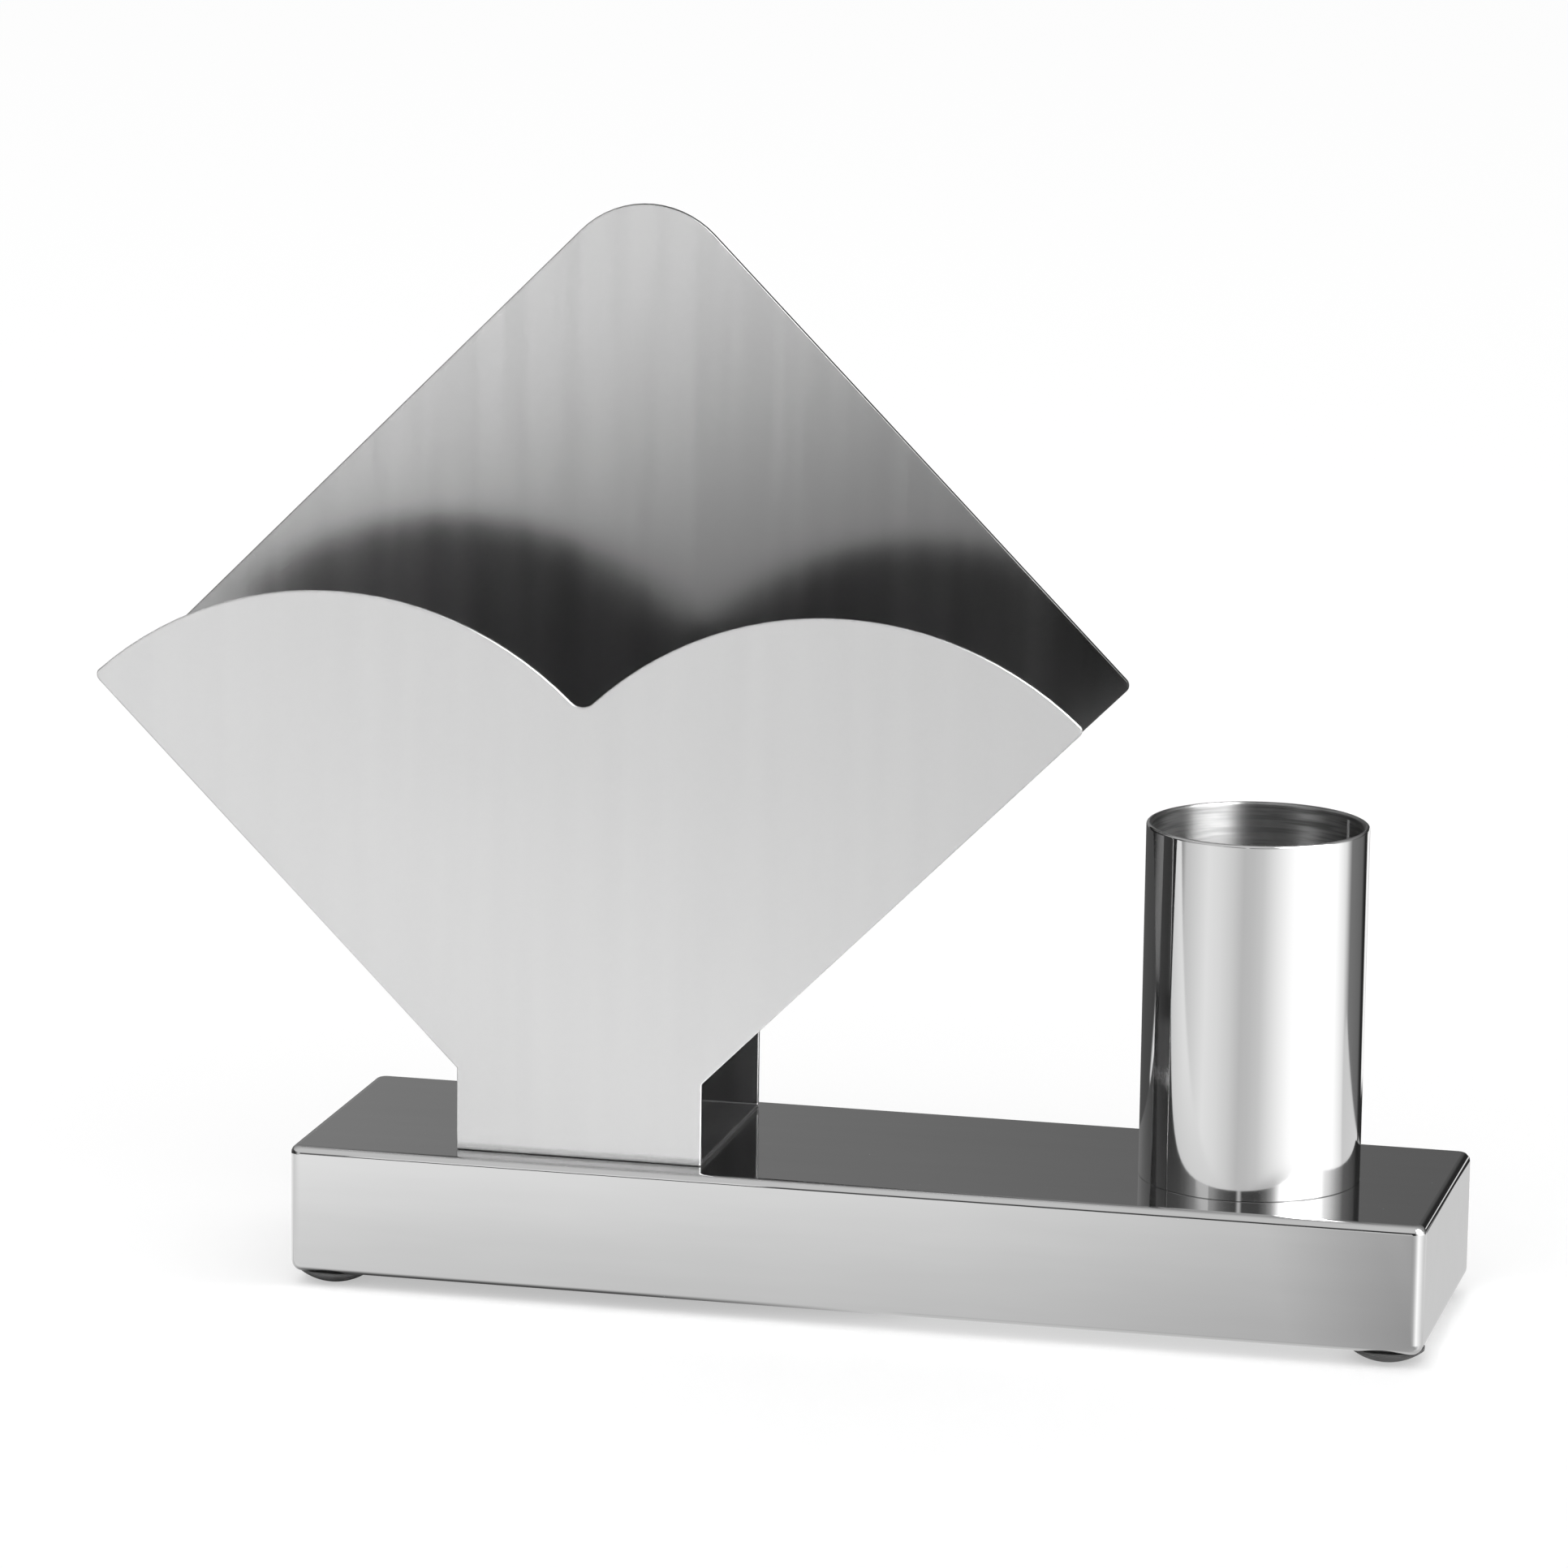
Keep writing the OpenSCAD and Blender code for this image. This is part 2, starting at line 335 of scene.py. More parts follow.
def cup_steel(settings):
    """The tube's finish: polished outside, and inside the fine rings that turning leaves, on a colour darkened
    as painted shade inside the tube.
    """
    material, nodes, place = new_material("polished_tube_steel")
    axis = centre_of("cup_tube")
    x, y, z = nodes.axes(place)
    radius = nodes.length(x - axis.x, y - axis.y)
    wall = settings.cup_wall
    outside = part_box("cup_tube")[1].x - axis.x
    inner = 1 - radius.rise(outside - 0.75 * wall, outside - 0.4 * wall)
    rings = nodes.lines(place, (0.05, 0.05, 1.0), 1800.0, 3.0)
    dull_rings = rings.rise(0.4, 0.65)
    nodes.surface(
        # Inside the tube the colour is darkened as painted shade, and the turning rings vary it further
        Base_Color=nodes.tint(settings.steel, 1.0, settings.bore_shade, (0.6 + dull_rings * 0.4) * inner),
        Metallic=1.0,
        Roughness=settings.polish_roughness + inner * (settings.bore_roughness + dull_rings * 0.14),
        Anisotropic=0.95,
        Anisotropic_Rotation=0.25,
        Normal=nodes.bump(rings * inner, 0.02 * MM),
    )
    return material


def weld_steel(settings):
    """Weld bead inside the tube: dull, and blotched by the heat."""
    material, nodes, place = new_material("dull_weld_steel")
    blotch = nodes.noise(place, 700.0, 3.0)
    nodes.surface(
        Base_Color=nodes.tint(settings.steel, 0.9, 1.2, blotch),
        Metallic=1.0,
        Roughness=0.5 + blotch * 0.2,
        Normal=nodes.bump(blotch, 0.02 * MM),
    )
    return material


def plain_steel(settings):
    """Turned and rolled fasteners: fine rings round their axes and a duller colour."""
    material, nodes, place = new_material("plain_fastener_steel")
    rings = nodes.lines(place, (0.1, 0.1, 1.0), 2500.0)
    blotch = nodes.noise(place, 260.0, 3.0)
    nodes.surface(
        Base_Color=nodes.tint(settings.fastener_steel, 0.8, 1.08, blotch),
        Metallic=1.0,
        Roughness=0.28 + blotch * 0.2,
        Normal=nodes.bump(rings, 0.01 * MM),
    )
    return material


def foot_rubber(settings):
    """Matt moulded rubber, a little greyer where it has been handled."""
    material, nodes, place = new_material("dark_foot_rubber")
    speckle = nodes.noise(place, 3500.0, 3.0)
    dust = nodes.noise(place, 350.0, 2.0)
    nodes.surface(
        Base_Color=nodes.tint(settings.rubber, 0.75, 1.5, dust),
        Metallic=0.0,
        Roughness=0.6 + speckle * 0.25,
        Normal=nodes.bump(speckle, 0.02 * MM),
    )
    return material


def dress(node, material):
    """Gives a CAD node its finish."""
    NODES[node].data.materials.clear()
    NODES[node].data.materials.append(material)


def merged_copy(node):
    """A CAD node's triangles, joined up, with its flat faces whole again."""
    bm = bmesh.new()
    bm.from_mesh(NODES[node].data)
    bmesh.ops.remove_doubles(bm, verts=bm.verts, dist=MERGE_DISTANCE)
    bmesh.ops.dissolve_limit(bm, angle_limit=FLAT_ANGLE, verts=bm.verts, edges=bm.edges,
                             use_dissolve_boundaries=False)
    return bm


def make_piece(bm, name, slot, material, *nodes):
    """Turns a bmesh into a piece that stands for CAD nodes and rides on the body."""
    for face in bm.faces:
        face.smooth = True
    for edge in bm.edges:
        edge.smooth = not edge.is_manifold or edge.calc_face_angle() < CREASE_ANGLE
    mesh = bpy.data.meshes.new(name)
    bm.to_mesh(mesh)
    bm.free()
    mesh.materials.append(material)
    piece = bpy.data.objects.new(name, mesh)
    bpy.context.scene.collection.objects.link(piece)
    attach(piece, BODY)
    if nodes:
        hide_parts(*nodes)
    return piece


def keep_faces_flat(piece):
    """Shades the small roundings smoothly, without their shade creeping over the flats beside them."""
    weigh = piece.modifiers.new("even_shading", "WEIGHTED_NORMAL")
    weigh.weight = 100
    weigh.keep_sharp = True


class HolderSettings(bpy.types.PropertyGroup):
    """Sizes and finishes of the napkin holder."""

    steel: FloatVectorProperty(
        name="Steel", description="Colour of the polished and the satin sheet", subtype="COLOR",
        size=3, min=0, max=1, default=(0.56, 0.56, 0.56))
    fastener_steel: FloatVectorProperty(
        name="Fastener steel", description="Colour of the studs, washers and nuts", subtype="COLOR",
        size=3, min=0, max=1, default=(0.5, 0.5, 0.5))
    rubber: FloatVectorProperty(
        name="Rubber", description="Colour of the feet", subtype="COLOR",
        size=3, min=0, max=1, default=(0.06, 0.06, 0.06))
    polish_roughness: FloatProperty(
        name="Polish", description="Roughness of the mirror-polished steel", min=0, max=1, default=0.05)
    satin_roughness: FloatProperty(
        name="Satin", description="Roughness of the brushed rack", min=0, max=1, default=0.2)
    satin_spread: FloatProperty(
        name="Satin spread", description="How much rougher the dull lines of the grain are", min=0, max=1,
        default=0.05)
    # Inside shade, shade start, shade end and shade slope set a painted shade: the rack's inside colour is
    # darkened low down, standing in for shade and the front plate's dark reflection
    inside_shade: FloatProperty(
        name="Inside shade", description="How bright the dull inside of the rack is beside its outside",
        min=0, max=1, default=0.36)
    shade_start: FloatProperty(
        name="Shade start", description="Height up to which the rack's inside has its full shade",
        unit="LENGTH", precision=5, default=90 * MM)
    shade_end: FloatProperty(
        name="Shade end", description="Height from which the rack's inside is as bright as its outside",
        unit="LENGTH", precision=5, default=158 * MM)
    shade_slope: FloatProperty(
        name="Shade slope", description="How much higher the shade reaches for each metre to the right",
        default=0.35)
    # Painted reflection: darkens the back plate's right corner inside
    corner_shade: FloatProperty(
        name="Corner shade", description="How much darker the back plate's right corner is inside",
        min=0, max=1, default=0.6)
    # Painted shade on the back plate's cut edge
    edge_shade: FloatProperty(
        name="Edge shade", description="How much darker the back plate's cut edge is than its faces",
        min=0, max=1, default=0.93)
    haze_roughness: FloatProperty(
        name="Haze roughness", description="Roughness of the wide haze of the brushed rack", min=0, max=1,
        default=0.55)
    haze_share: FloatProperty(
        name="Haze share", description="Share of the wide haze in the rack's gloss", min=0, max=1,
        default=0.14)
    bore_roughness: FloatProperty(
        name="Bore", description="Added roughness inside the cup", min=0, max=1, default=0.28)
    # Bore shade darkens the colour inside the cup: painted shade inside the tube, with the turning rings darker
    # still
    bore_shade: FloatProperty(
        name="Bore shade", description="How bright the dullest rings inside the cup are beside its outside",
        min=0, max=1, default=0.3)
    grain_density: FloatProperty(
        name="Grain", description="Grain lines per metre across the rack", min=100, max=6000, default=4200)
    streak_density: FloatProperty(
        name="Streaks", description="Broad upright streaks per metre across the rack's inside",
        min=10, max=1000, default=260)
    grain_depth: FloatProperty(
        name="Grain depth", description="Depth of the grain", unit="LENGTH", precision=7,
        default=0.001 * MM)
    rack_sheet: FloatProperty(
        name="Rack sheet", description="Thickness of the rack's sheet", unit="LENGTH", precision=5,
        default=0.8 * MM)
    edge_break: FloatProperty(
        name="Edge break", description="Width that the rack's cut edges are rounded by", unit="LENGTH",
        precision=5, min=0.02 * MM, max=0.35 * MM, default=0.3 * MM)
    edge_steps: IntProperty(
        name="Edge steps", description="Facets across a rounded cut edge", min=1, max=8, default=4)
    cup_wall: FloatProperty(
        name="Cup wall", description="Wall of the cup's tube", unit="LENGTH", precision=5, default=0.8 * MM)
    cup_steps: IntProperty(
        name="Cup steps", description="Facets round the cup", min=48, max=360, default=256)
    seam_width: FloatProperty(
        name="Seam width", description="Width of the weld bead inside the tube", unit="LENGTH",
        precision=5, default=0.7 * MM)
    seam_height: FloatProperty(
        name="Seam height", description="How far the weld bead stands in from the wall", unit="LENGTH",
        precision=5, default=0.15 * MM)
    seam_azimuth: FloatProperty(
        name="Seam direction", description="Direction of the bead from the cup's middle, from +X",
        subtype="ANGLE", default=math.radians(41))
    thread_pitch: FloatProperty(
        name="Thread pitch", description="Pitch of the studs' M4 thread", unit="LENGTH", precision=5,
        default=0.7 * MM)
    thread_depth: FloatProperty(
        name="Thread depth", description="Depth of the studs' thread", unit="LENGTH", precision=5,
        default=0.43 * MM)


class StudioSettings(bpy.types.PropertyGroup):
    """Light and surroundings."""

    background: FloatProperty(
        name="Background", description="Level of the white that the camera sees", min=0, max=1, default=1.0)
    shadow_lift: FloatProperty(
        name="Shadow lift", description="How much of the floor's shadow the background's white takes away",
        min=0, max=1, default=0.45)
    fill: FloatProperty(
        name="Fill", description="Level of the even light from all round", min=0, max=2, default=0.96)
    lamp_power: FloatProperty(
        name="Lamp", description="Power of the soft lamp", unit="POWER", min=0, default=4.0)
    overhead: FloatProperty(
        name="Overhead", description="Level that the metal mirrors from above", min=0, max=2, default=1.0)
    reflector: FloatProperty(
        name="Reflector", description="Level of the small card in front of the rack", min=0, max=2,
        default=1.15)
    softbox: FloatProperty(
        name="Softbox", description="Level of the bright softbox at the right", min=0, max=30, default=20.0)


class HOLDER_OT_rack(bpy.types.Operator):
    """Breaks the cut edges of the folded rack and brushes it"""

    bl_idname = "napkin_holder.rack"
    bl_label = "Rack"

    def execute(self, context):
        settings = context.scene.napkin_holder
        bm = merged_copy("napkin_rack")
        cut_edges = [edge for edge in bm.edges if edge.is_manifold and edge.calc_face_angle() > CUT_ANGLE]
        if not cut_edges:
            raise RuntimeError("the rack has no cut edges")
        bmesh.ops.bevel(bm, geom=cut_edges, offset=settings.edge_break, offset_type="OFFSET",
                        segments=settings.edge_steps, profile=0.5, affect="EDGES", clamp_overlap=True,
                        material=-1)
        piece = make_piece(bm, "folded_rack", "satin_steel", satin_steel(settings), "napkin_rack")
        keep_faces_flat(piece)
        return {"FINISHED"}


class HOLDER_OT_base(bpy.types.Operator):
    """Polishes the folded base"""

    bl_idname = "napkin_holder.base"
    bl_label = "Base"

    def execute(self, context):
        dress("base_shell", polished_steel(context.scene.napkin_holder))
        return {"FINISHED"}


class HOLDER_OT_cup(bpy.types.Operator):
    """Turns the cup's tube with its rounded rim and welds the seam inside it"""

    bl_idname = "napkin_holder.cup"
    bl_label = "Cup"

    rim_steps = 10
    foot_break = 0.1 * MM
    bead_steps = 32

    def execute(self, context):
        settings = context.scene.napkin_holder
        steel = cup_steel(settings)
        self.turn_tube(settings, steel)
        self.lay_seam(settings, weld_steel(settings))
        dress("cup_floor", steel)
        return {"FINISHED"}

    def turn_tube(self, settings, steel):
        low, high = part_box("cup_tube")
        axis = centre_of("cup_tube")
        wall = settings.cup_wall
        outside = high.x - axis.x
        outline = [(outside - wall, low.z), (outside - self.foot_break, low.z),
                   (outside, low.z + self.foot_break)]
        for step in range(self.rim_steps + 1):
            turn = math.pi * step / self.rim_steps
            across, up = wall / 2 * math.cos(turn), wall / 2 * math.sin(turn)
            outline.append((outside - wall / 2 + across, high.z - wall / 2 + up))
        bm = bmesh.new()
        ring = [bm.verts.new((axis.x + radius, axis.y, height)) for radius, height in outline]
        edges = [bm.edges.new(pair) for pair in zip(ring, ring[1:] + ring[:1])]
        bmesh.ops.spin(bm, geom=ring + edges, cent=axis, axis=(0, 0, 1), angle=FULL_TURN,
                       steps=settings.cup_steps, use_merge=True)
        bmesh.ops.remove_doubles(bm, verts=bm.verts, dist=MERGE_DISTANCE)
        bmesh.ops.recalc_face_normals(bm, faces=bm.faces)
        piece = make_piece(bm, "cup_wall", "polished_steel", steel, "cup_tube")
        keep_faces_flat(piece)

    def lay_seam(self, settings, steel):
        low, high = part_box("cup_tube")
        axis = centre_of("cup_tube")
        inside = high.x - axis.x - settings.cup_wall
        floor_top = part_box("cup_floor")[1].z
        half, rise = settings.seam_width / 2, settings.seam_height
        bead_radius = (half * half + rise * rise) / (2 * rise)
        length = high.z - settings.cup_wall - floor_top
        out = Vector((math.cos(settings.seam_azimuth), math.sin(settings.seam_azimuth), 0))
        middle = Vector((axis.x, axis.y, floor_top + length / 2)) + out * (inside - rise + bead_radius)
        bm = bmesh.new()
        bmesh.ops.create_cone(bm, cap_ends=True, segments=self.bead_steps, radius1=bead_radius,
                              radius2=bead_radius, depth=length, matrix=Matrix.Translation(middle))
        wall_middle = Vector((axis.x, axis.y, 0)) + out * (inside + settings.cup_wall / 2)
        everything = bm.verts[:] + bm.edges[:] + bm.faces[:]
        bmesh.ops.bisect_plane(bm, geom=everything, plane_co=wall_middle, plane_no=out, clear_outer=True)
        bmesh.ops.holes_fill(bm, edges=bm.edges)
        bmesh.ops.recalc_face_normals(bm, faces=bm.faces)
        make_piece(bm, "cup_seam", "polished_steel", steel)


class HOLDER_OT_fixings(bpy.types.Operator):
    """Cuts the threads of the studs and finishes the washers and nuts"""

    bl_idname = "napkin_holder.fixings"
    bl_label = "Fixings"

    thread_steps = 48
    end_break = 0.1 * MM

    def execute(self, context):
        settings = context.scene.napkin_holder
        steel = plain_steel(settings)
        for node in STUDS:
            make_piece(self.threaded(node, settings), node + "_thread", "plain_steel", steel, node)
        for node in WASHERS + NUTS:
            dress(node, steel)
        return {"FINISHED"}

    def threaded(self, node, settings):
        """A stud with a true helical thread, trimmed to the CAD stud's length and chamfered at its end."""
        low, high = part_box(node)
        axis = centre_of(node)
        major = (high.x - low.x) / 2
        minor = major - settings.thread_depth
        pitch = settings.thread_pitch
        crest, root = pitch / 8, pitch / 4
        start = low.z - pitch
        flank = (pitch - crest - root) / 2
        outline = [(minor, 0), (minor, root), (major, root + flank), (major, root + flank + crest),
                   (minor, pitch)]
        bm = bmesh.new()
        line = [bm.verts.new((axis.x + radius, axis.y, start + height)) for radius, height in outline]
        edges = [bm.edges.new(pair) for pair in zip(line, line[1:])]
        turns = math.ceil((high.z - start) / pitch) + 1
        bmesh.ops.spin(bm, geom=line + edges, cent=axis, axis=(0, 0, 1), angle=FULL_TURN * turns,
                       dvec=(0, 0, pitch / self.thread_steps), steps=self.thread_steps * turns)
        bmesh.ops.remove_doubles(bm, verts=bm.verts, dist=MERGE_DISTANCE)
        for level, upwards in ((low.z, -1), (high.z, 1)):
            everything = bm.verts[:] + bm.edges[:] + bm.faces[:]
            bmesh.ops.bisect_plane(bm, geom=everything, plane_co=(axis.x, axis.y, level),
                                   plane_no=(0, 0, upwards), clear_outer=True)
        bmesh.ops.holes_fill(bm, edges=bm.edges)
        for vert in bm.verts:
            offset = Vector((vert.co.x - axis.x, vert.co.y - axis.y, 0))
            allowed = minor - self.end_break + (vert.co.z - low.z)
            if offset.length > allowed:
                offset *= allowed / offset.length
                vert.co = Vector((axis.x + offset.x, axis.y + offset.y, vert.co.z))
        bmesh.ops.recalc_face_normals(bm, faces=bm.faces)
        return bm


class HOLDER_OT_feet(bpy.types.Operator):
    """Gives the four feet their rubber"""

    bl_idname = "napkin_holder.feet"
    bl_label = "Feet"

    def execute(self, context):
        rubber = foot_rubber(context.scene.napkin_holder)
        for node in FEET:
            dress(node, rubber)
        return {"FINISHED"}


class HOLDER_OT_studio(bpy.types.Operator):
    """Sets up the floor, the light and the camera"""

    bl_idname = "napkin_holder.studio"
    bl_label = "Studio"

    # What the metal mirrors. These light levels were worked out from brightness readings of the photo's cup and
    # base, and changed until the render's readings came near. Each pair is a direction in degrees from +X and
    # its level. The sky goes by how far the direction points back, and the near floor by the place along the
    # base in metres
    horizon = ((-180, 0.05), (-169, 0.05), (-159, 0.06), (-150, 0.16), (-141.5, 0.4), (-133, 0.73),
               (-125.5, 0.76), (-118, 0.6), (-111, 0.26), (-104, 0.12), (-97, 0.05), (-93.5, 0.05), (-90.5, 1.3),
               (-87.5, 0.05), (-76.5, 0.03), (-70, 0.05), (-63, 0.28), (-56.5, 0.8), (-50, 1.07), (-43, 1.6),
               (-36, 2.0), (8, 2.0), (22, 0.9), (35, 0.25), (58, 0.12), (66, 0.03), (84, 0.03), (96, 0.12),
               (108, 0.3), (125, 0.3), (160, 0.12), (180, 0.05))
    sky = ((-1, 0.9), (-0.3, 0.9), (0.2, 0.65), (0.6, 0.4), (1, 0.15))
    far_floor = ((-180, 0.06), (-166, 0.12), (-157, 0.9), (-143, 1.1), (-130, 1.3), (-116, 1.2), (-104, 1.04),
                 (-93, 0.83), (-84, 0.87), (-74, 0.98), (-60, 1.35), (-44, 1.75), (-30, 1.95), (5, 1.95),
                 (22, 1.3), (32, 0.3), (56, 0.2), (63, 0.03), (84, 0.03), (100, 0.1), (150, 0.1), (180, 0.06))
    near_floor = ((-0.07, 1.36), (0.009, 1.21), (0.033, 1.17), (0.056, 1.06), (0.08, 0.97), (0.092, 0.74),
                  (0.0975, 0.67), (0.12, 0.67))
    corner_floor = ((-180, 0.55), (-100, 0.5), (-80, 0.62), (-66, 0.8), (-51, 1.26), (-35, 1.75), (-19, 1.55),
                    (-1, 1.34), (19, 1.1), (44, 0.9), (77, 0.85), (180, 0.85))
    right_floor = 0.74
    left_floor = 1.2
    wedge_floor = 1.0
    right_glow = 1.2
    # Painted contact shadow: the mirrored floor's level right at the base's front, rising to full 0.1 m ahead
    foot_shade = 0.76
    sky_starts = (13, 22)
    softbox_azimuth = (-50, 0)
    softbox_elevation = (18, 62)
    glow_azimuth = (70, 86)
    glow_ends = (1, 4)
    floor_glow_azimuth = (72, 88)

    # How far from the base the floor lies that only the base mirrors, as its low faces see the floor at about
    # four times their height
    soft_edge = 0.003
    corner_reach = 0.076
    front_reach = 0.077
    back_reach = 0.103
    left_reach = 0.078
    left_depth = 0.07
    wedge_start = 0.009
    wedge_end = 0.26
    glow_start = 0.145
    # How fast the directions that the base's right end mirrors lean to +X as they go back
    end_lean = 0.158

    floor_radius = 4.0
    floor_sides = 96
    floor_colour = (0.98, 0.98, 0.98, 1.0)
    lamp_size = 1.2
    lamp_place = Vector((-0.5, -0.4, 1.6))
    lamp_aim = Vector((0, 0, 0.05))
    card_low = Vector((-0.1, -0.165, 0.04))
    card_high = Vector((-0.03, -0.165, 0.075))

    def execute(self, context):
        settings = context.scene.napkin_studio
        self.surround(context.scene, settings)
        self.lay_floor(settings)
        self.hang_lamp(settings)
        self.stand_reflector(settings)
        self.set_camera(context.scene)
        context.scene.view_settings.view_transform = "Standard"
        return {"FINISHED"}

    def surround(self, scene, settings):
        """White for the camera, even light for the floor, and a studio for the metal to mirror."""
        world = bpy.data.worlds.new("studio")
        scene.world = world
        world.cycles.sampling_method = "NONE"
        nodes = Nodes(world)
        x, y, z = nodes.axes(nodes.add("ShaderNodeTexCoord", output="Generated"))
        azimuth = nodes.azimuth(x, y)
        elevation = z.math("ARCSINE") * DEGREES
        low_right = azimuth.band(*self.glow_azimuth, 2) * (1 - elevation.rise(*self.glow_ends))
        softbox = azimuth.band(*self.softbox_azimuth, 8) * elevation.band(*self.softbox_elevation, 6)
        above = nodes.steps(y, self.sky) * settings.overhead
        mirrored = nodes.steps(azimuth, self.horizon).mix(self.right_glow, low_right)
        mirrored = mirrored.mix(above, elevation.rise(*self.sky_starts)).mix(settings.softbox, softbox)
        plain = nodes.ray("Is Camera Ray") * (settings.background - settings.fill) + settings.fill
        strength = plain.mix(mirrored, nodes.ray("Is Glossy Ray"))
        light = nodes.add("ShaderNodeBackground", None, {"Color": (1, 1, 1, 1), "Strength": strength})
        nodes.finish(light, "ShaderNodeOutputWorld")

    def lay_floor(self, settings):
        bm = bmesh.new()
        bmesh.ops.create_circle(bm, cap_ends=True, segments=self.floor_sides, radius=self.floor_radius)
        mesh = bpy.data.meshes.new("floor")
        bm.to_mesh(mesh)
        bm.free()
        floor = bpy.data.objects.new("floor", mesh)
        bpy.context.scene.collection.objects.link(floor)
        mesh.materials.append(self.floor_paint(settings))

    def floor_paint(self, settings):
        """Pale matt floor for the camera and for the light, and a glowing one with painted light and shade for
        the metal to mirror.
        """
        material = bpy.data.materials.new("pale_floor")
        nodes = Nodes(material)
        is_glossy = nodes.ray("Is Glossy Ray")
        level = self.mirrored_floor(nodes) * is_glossy + (1 - is_glossy) * settings.background
        paint = nodes.add("ShaderNodeBsdfDiffuse", None, {"Color": self.floor_colour})
        glow = nodes.add("ShaderNodeEmission", None, {"Strength": level})
        share = is_glossy + nodes.ray("Is Camera Ray") * settings.shadow_lift
        both = nodes.add("ShaderNodeMixShader", None, {0: share, 1: paint, 2: glow})
        nodes.finish(both, "ShaderNodeOutputMaterial")
        material.cycles.emission_sampling = "NONE"
        return material

    def mirrored_floor(self, nodes):
        """Painted light and shade for the metal to mirror: the floor bright to the front left and the right and
        dark behind, with painted zones round the base.
        """
        x, y, z = nodes.axes(nodes.object_place())
        low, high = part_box("base_shell")
        cup = centre_of("cup_tube")
        soft = self.soft_edge
        azimuth = nodes.azimuth(x - cup.x, y - cup.y)
        floor = nodes.steps(azimuth, self.far_floor)

        corner_x, corner_y = x - high.x, y - low.y
        corner = nodes.steps(nodes.azimuth(corner_x, corner_y), self.corner_floor)
        floor = floor.mix(corner, 1 - nodes.length(corner_x, corner_y).past(self.corner_reach, soft))

        ahead = low.y - y
        along = x + ahead * math.tan(CAMERA_AZIMUTH)
        # Painted contact shadow: the near floor darkens towards the base's front
        front = nodes.steps(along, self.near_floor) * (
            self.foot_shade + (1 - self.foot_shade) * ahead.rise(0.0, 0.1))
        in_front = ahead.band(0.0, self.front_reach, soft / 2) * (1 - along.past(high.x + 0.005, soft))
        floor = floor.mix(front, in_front)

        outward = corner_x - corner_y * self.end_lean
        beside = y.past(low.y, 2 * soft) * (1 - y.past(self.back_reach, soft))
        wedge = outward.past(self.wedge_start, soft) * (1 - x.past(self.wedge_end, 0.02)) * beside
        floor = floor.math("MAXIMUM", wedge * self.wedge_floor)
        right_end = x.past(high.x - 0.002, 0.002) * (1 - outward.past(soft / 2, soft / 2)) * beside
        floor = floor.mix(self.right_floor, right_end)
        left_end = x.band(low.x - self.left_reach, low.x, soft) * y.band(low.y, self.left_depth, 2 * soft)
        floor = floor.mix(self.left_floor, left_end)

        distance = nodes.length(x - cup.x, y - cup.y)
        far_right = azimuth.band(*self.floor_glow_azimuth, 2) * distance.past(self.glow_start, 0.01)
        return floor.math("MAXIMUM", far_right * self.right_glow)

    def hang_lamp(self, settings):
        lamp = bpy.data.lights.new("softbox", "AREA")
        lamp.energy = settings.lamp_power
        lamp.size = self.lamp_size
        softbox = bpy.data.objects.new("softbox", lamp)
        softbox.location = self.lamp_place
        aim = self.lamp_aim - self.lamp_place
        softbox.rotation_euler = aim.to_track_quat("-Z", "Y").to_euler()
        softbox.visible_glossy = False
        bpy.context.scene.collection.objects.link(softbox)

    def stand_reflector(self, settings):
        """Small white card in front of the rack, which the base's top shows under the front plate."""
        bm = bmesh.new()
        low, high = self.card_low, self.card_high
        corners = ((low.x, low.z), (high.x, low.z), (high.x, high.z), (low.x, high.z))
        bm.faces.new([bm.verts.new((x, low.y, z)) for x, z in corners])
        mesh = bpy.data.meshes.new("reflector")
        bm.to_mesh(mesh)
        bm.free()
        material = bpy.data.materials.new("white_card")
        nodes = Nodes(material)
        glow = nodes.add("ShaderNodeEmission", None, {"Strength": settings.reflector})
        nodes.finish(glow, "ShaderNodeOutputMaterial")
        material.cycles.emission_sampling = "NONE"
        mesh.materials.append(material)
        card = bpy.data.objects.new("reflector", mesh)
        bpy.context.scene.collection.objects.link(card)
        card.visible_camera = False
        card.visible_diffuse = False
        card.visible_shadow = False

    def set_camera(self, scene):
        lens = bpy.data.cameras.new("camera")
        lens.sensor_width = SENSOR_WIDTH
        lens.lens = FOCAL_PIXELS / PHOTO_SIDE * SENSOR_WIDTH
        lens.clip_start, lens.clip_end = CAMERA_CLIP
        back = Vector((math.sin(CAMERA_AZIMUTH) * math.cos(CAMERA_ELEVATION),
                       -math.cos(CAMERA_AZIMUTH) * math.cos(CAMERA_ELEVATION),
                       math.sin(CAMERA_ELEVATION)))
        right = Vector((math.cos(CAMERA_AZIMUTH), math.sin(CAMERA_AZIMUTH), 0))
        level = Matrix((right, back.cross(right), back)).transposed()
        camera = bpy.data.objects.new("camera", lens)
        turned = level @ Matrix.Rotation(CAMERA_ROLL, 3, "Z")
        camera.matrix_world = Matrix.Translation(CAMERA_TARGET + back * CAMERA_DISTANCE) @ turned.to_4x4()
        scene.collection.objects.link(camera)
        scene.camera = camera


class HOLDER_PT_panel(bpy.types.Panel):
    """Lists the pieces, their finishes and the studio"""

    bl_idname = "HOLDER_PT_panel"
    bl_label = "Napkin holder"
    bl_space_type = "VIEW_3D"
    bl_region_type = "UI"
    bl_category = "Napkin holder"

    def draw(self, context):
        for operator in OPERATORS:
            self.layout.operator(operator.bl_idname)
        for group in (context.scene.napkin_holder, context.scene.napkin_studio):
            box = self.layout.box()
            for name in group.__annotations__:
                box.prop(group, name)


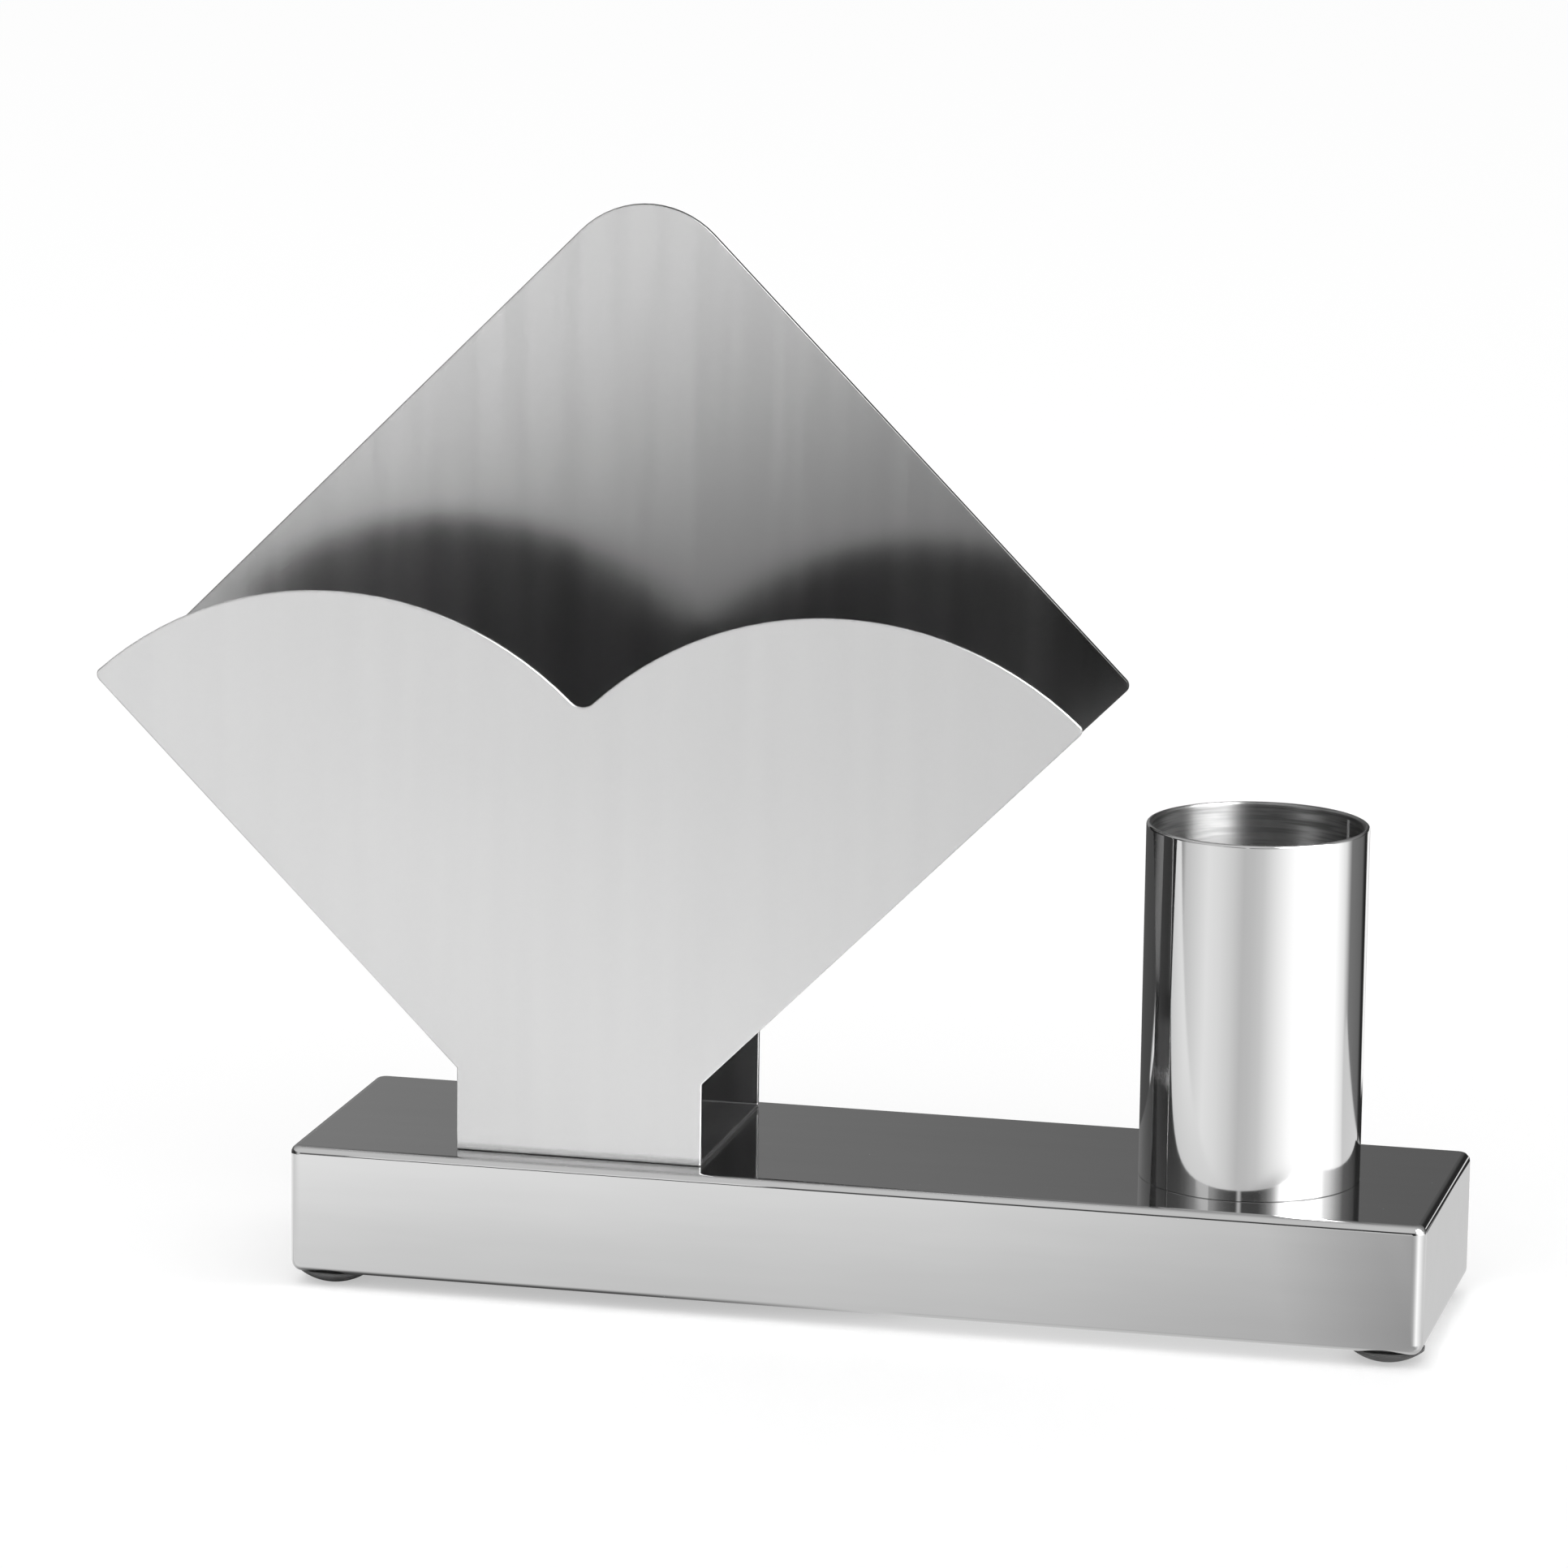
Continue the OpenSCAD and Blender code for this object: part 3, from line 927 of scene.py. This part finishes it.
OPERATORS = (HOLDER_OT_rack, HOLDER_OT_base, HOLDER_OT_cup, HOLDER_OT_fixings, HOLDER_OT_feet,
             HOLDER_OT_studio)
CLASSES = (HolderSettings, StudioSettings, *OPERATORS, HOLDER_PT_panel)


def register():
    for cls in CLASSES:
        bpy.utils.register_class(cls)
    bpy.types.Scene.napkin_holder = PointerProperty(type=HolderSettings)
    bpy.types.Scene.napkin_studio = PointerProperty(type=StudioSettings)


def unregister():
    del bpy.types.Scene.napkin_studio
    del bpy.types.Scene.napkin_holder
    for cls in reversed(CLASSES):
        bpy.utils.unregister_class(cls)


def main():
    register()
    bpy.ops.napkin_holder.rack()
    bpy.ops.napkin_holder.base()
    bpy.ops.napkin_holder.cup()
    bpy.ops.napkin_holder.fixings()
    bpy.ops.napkin_holder.feet()
    bpy.ops.napkin_holder.studio()


if __name__ == "__main__":
    main()
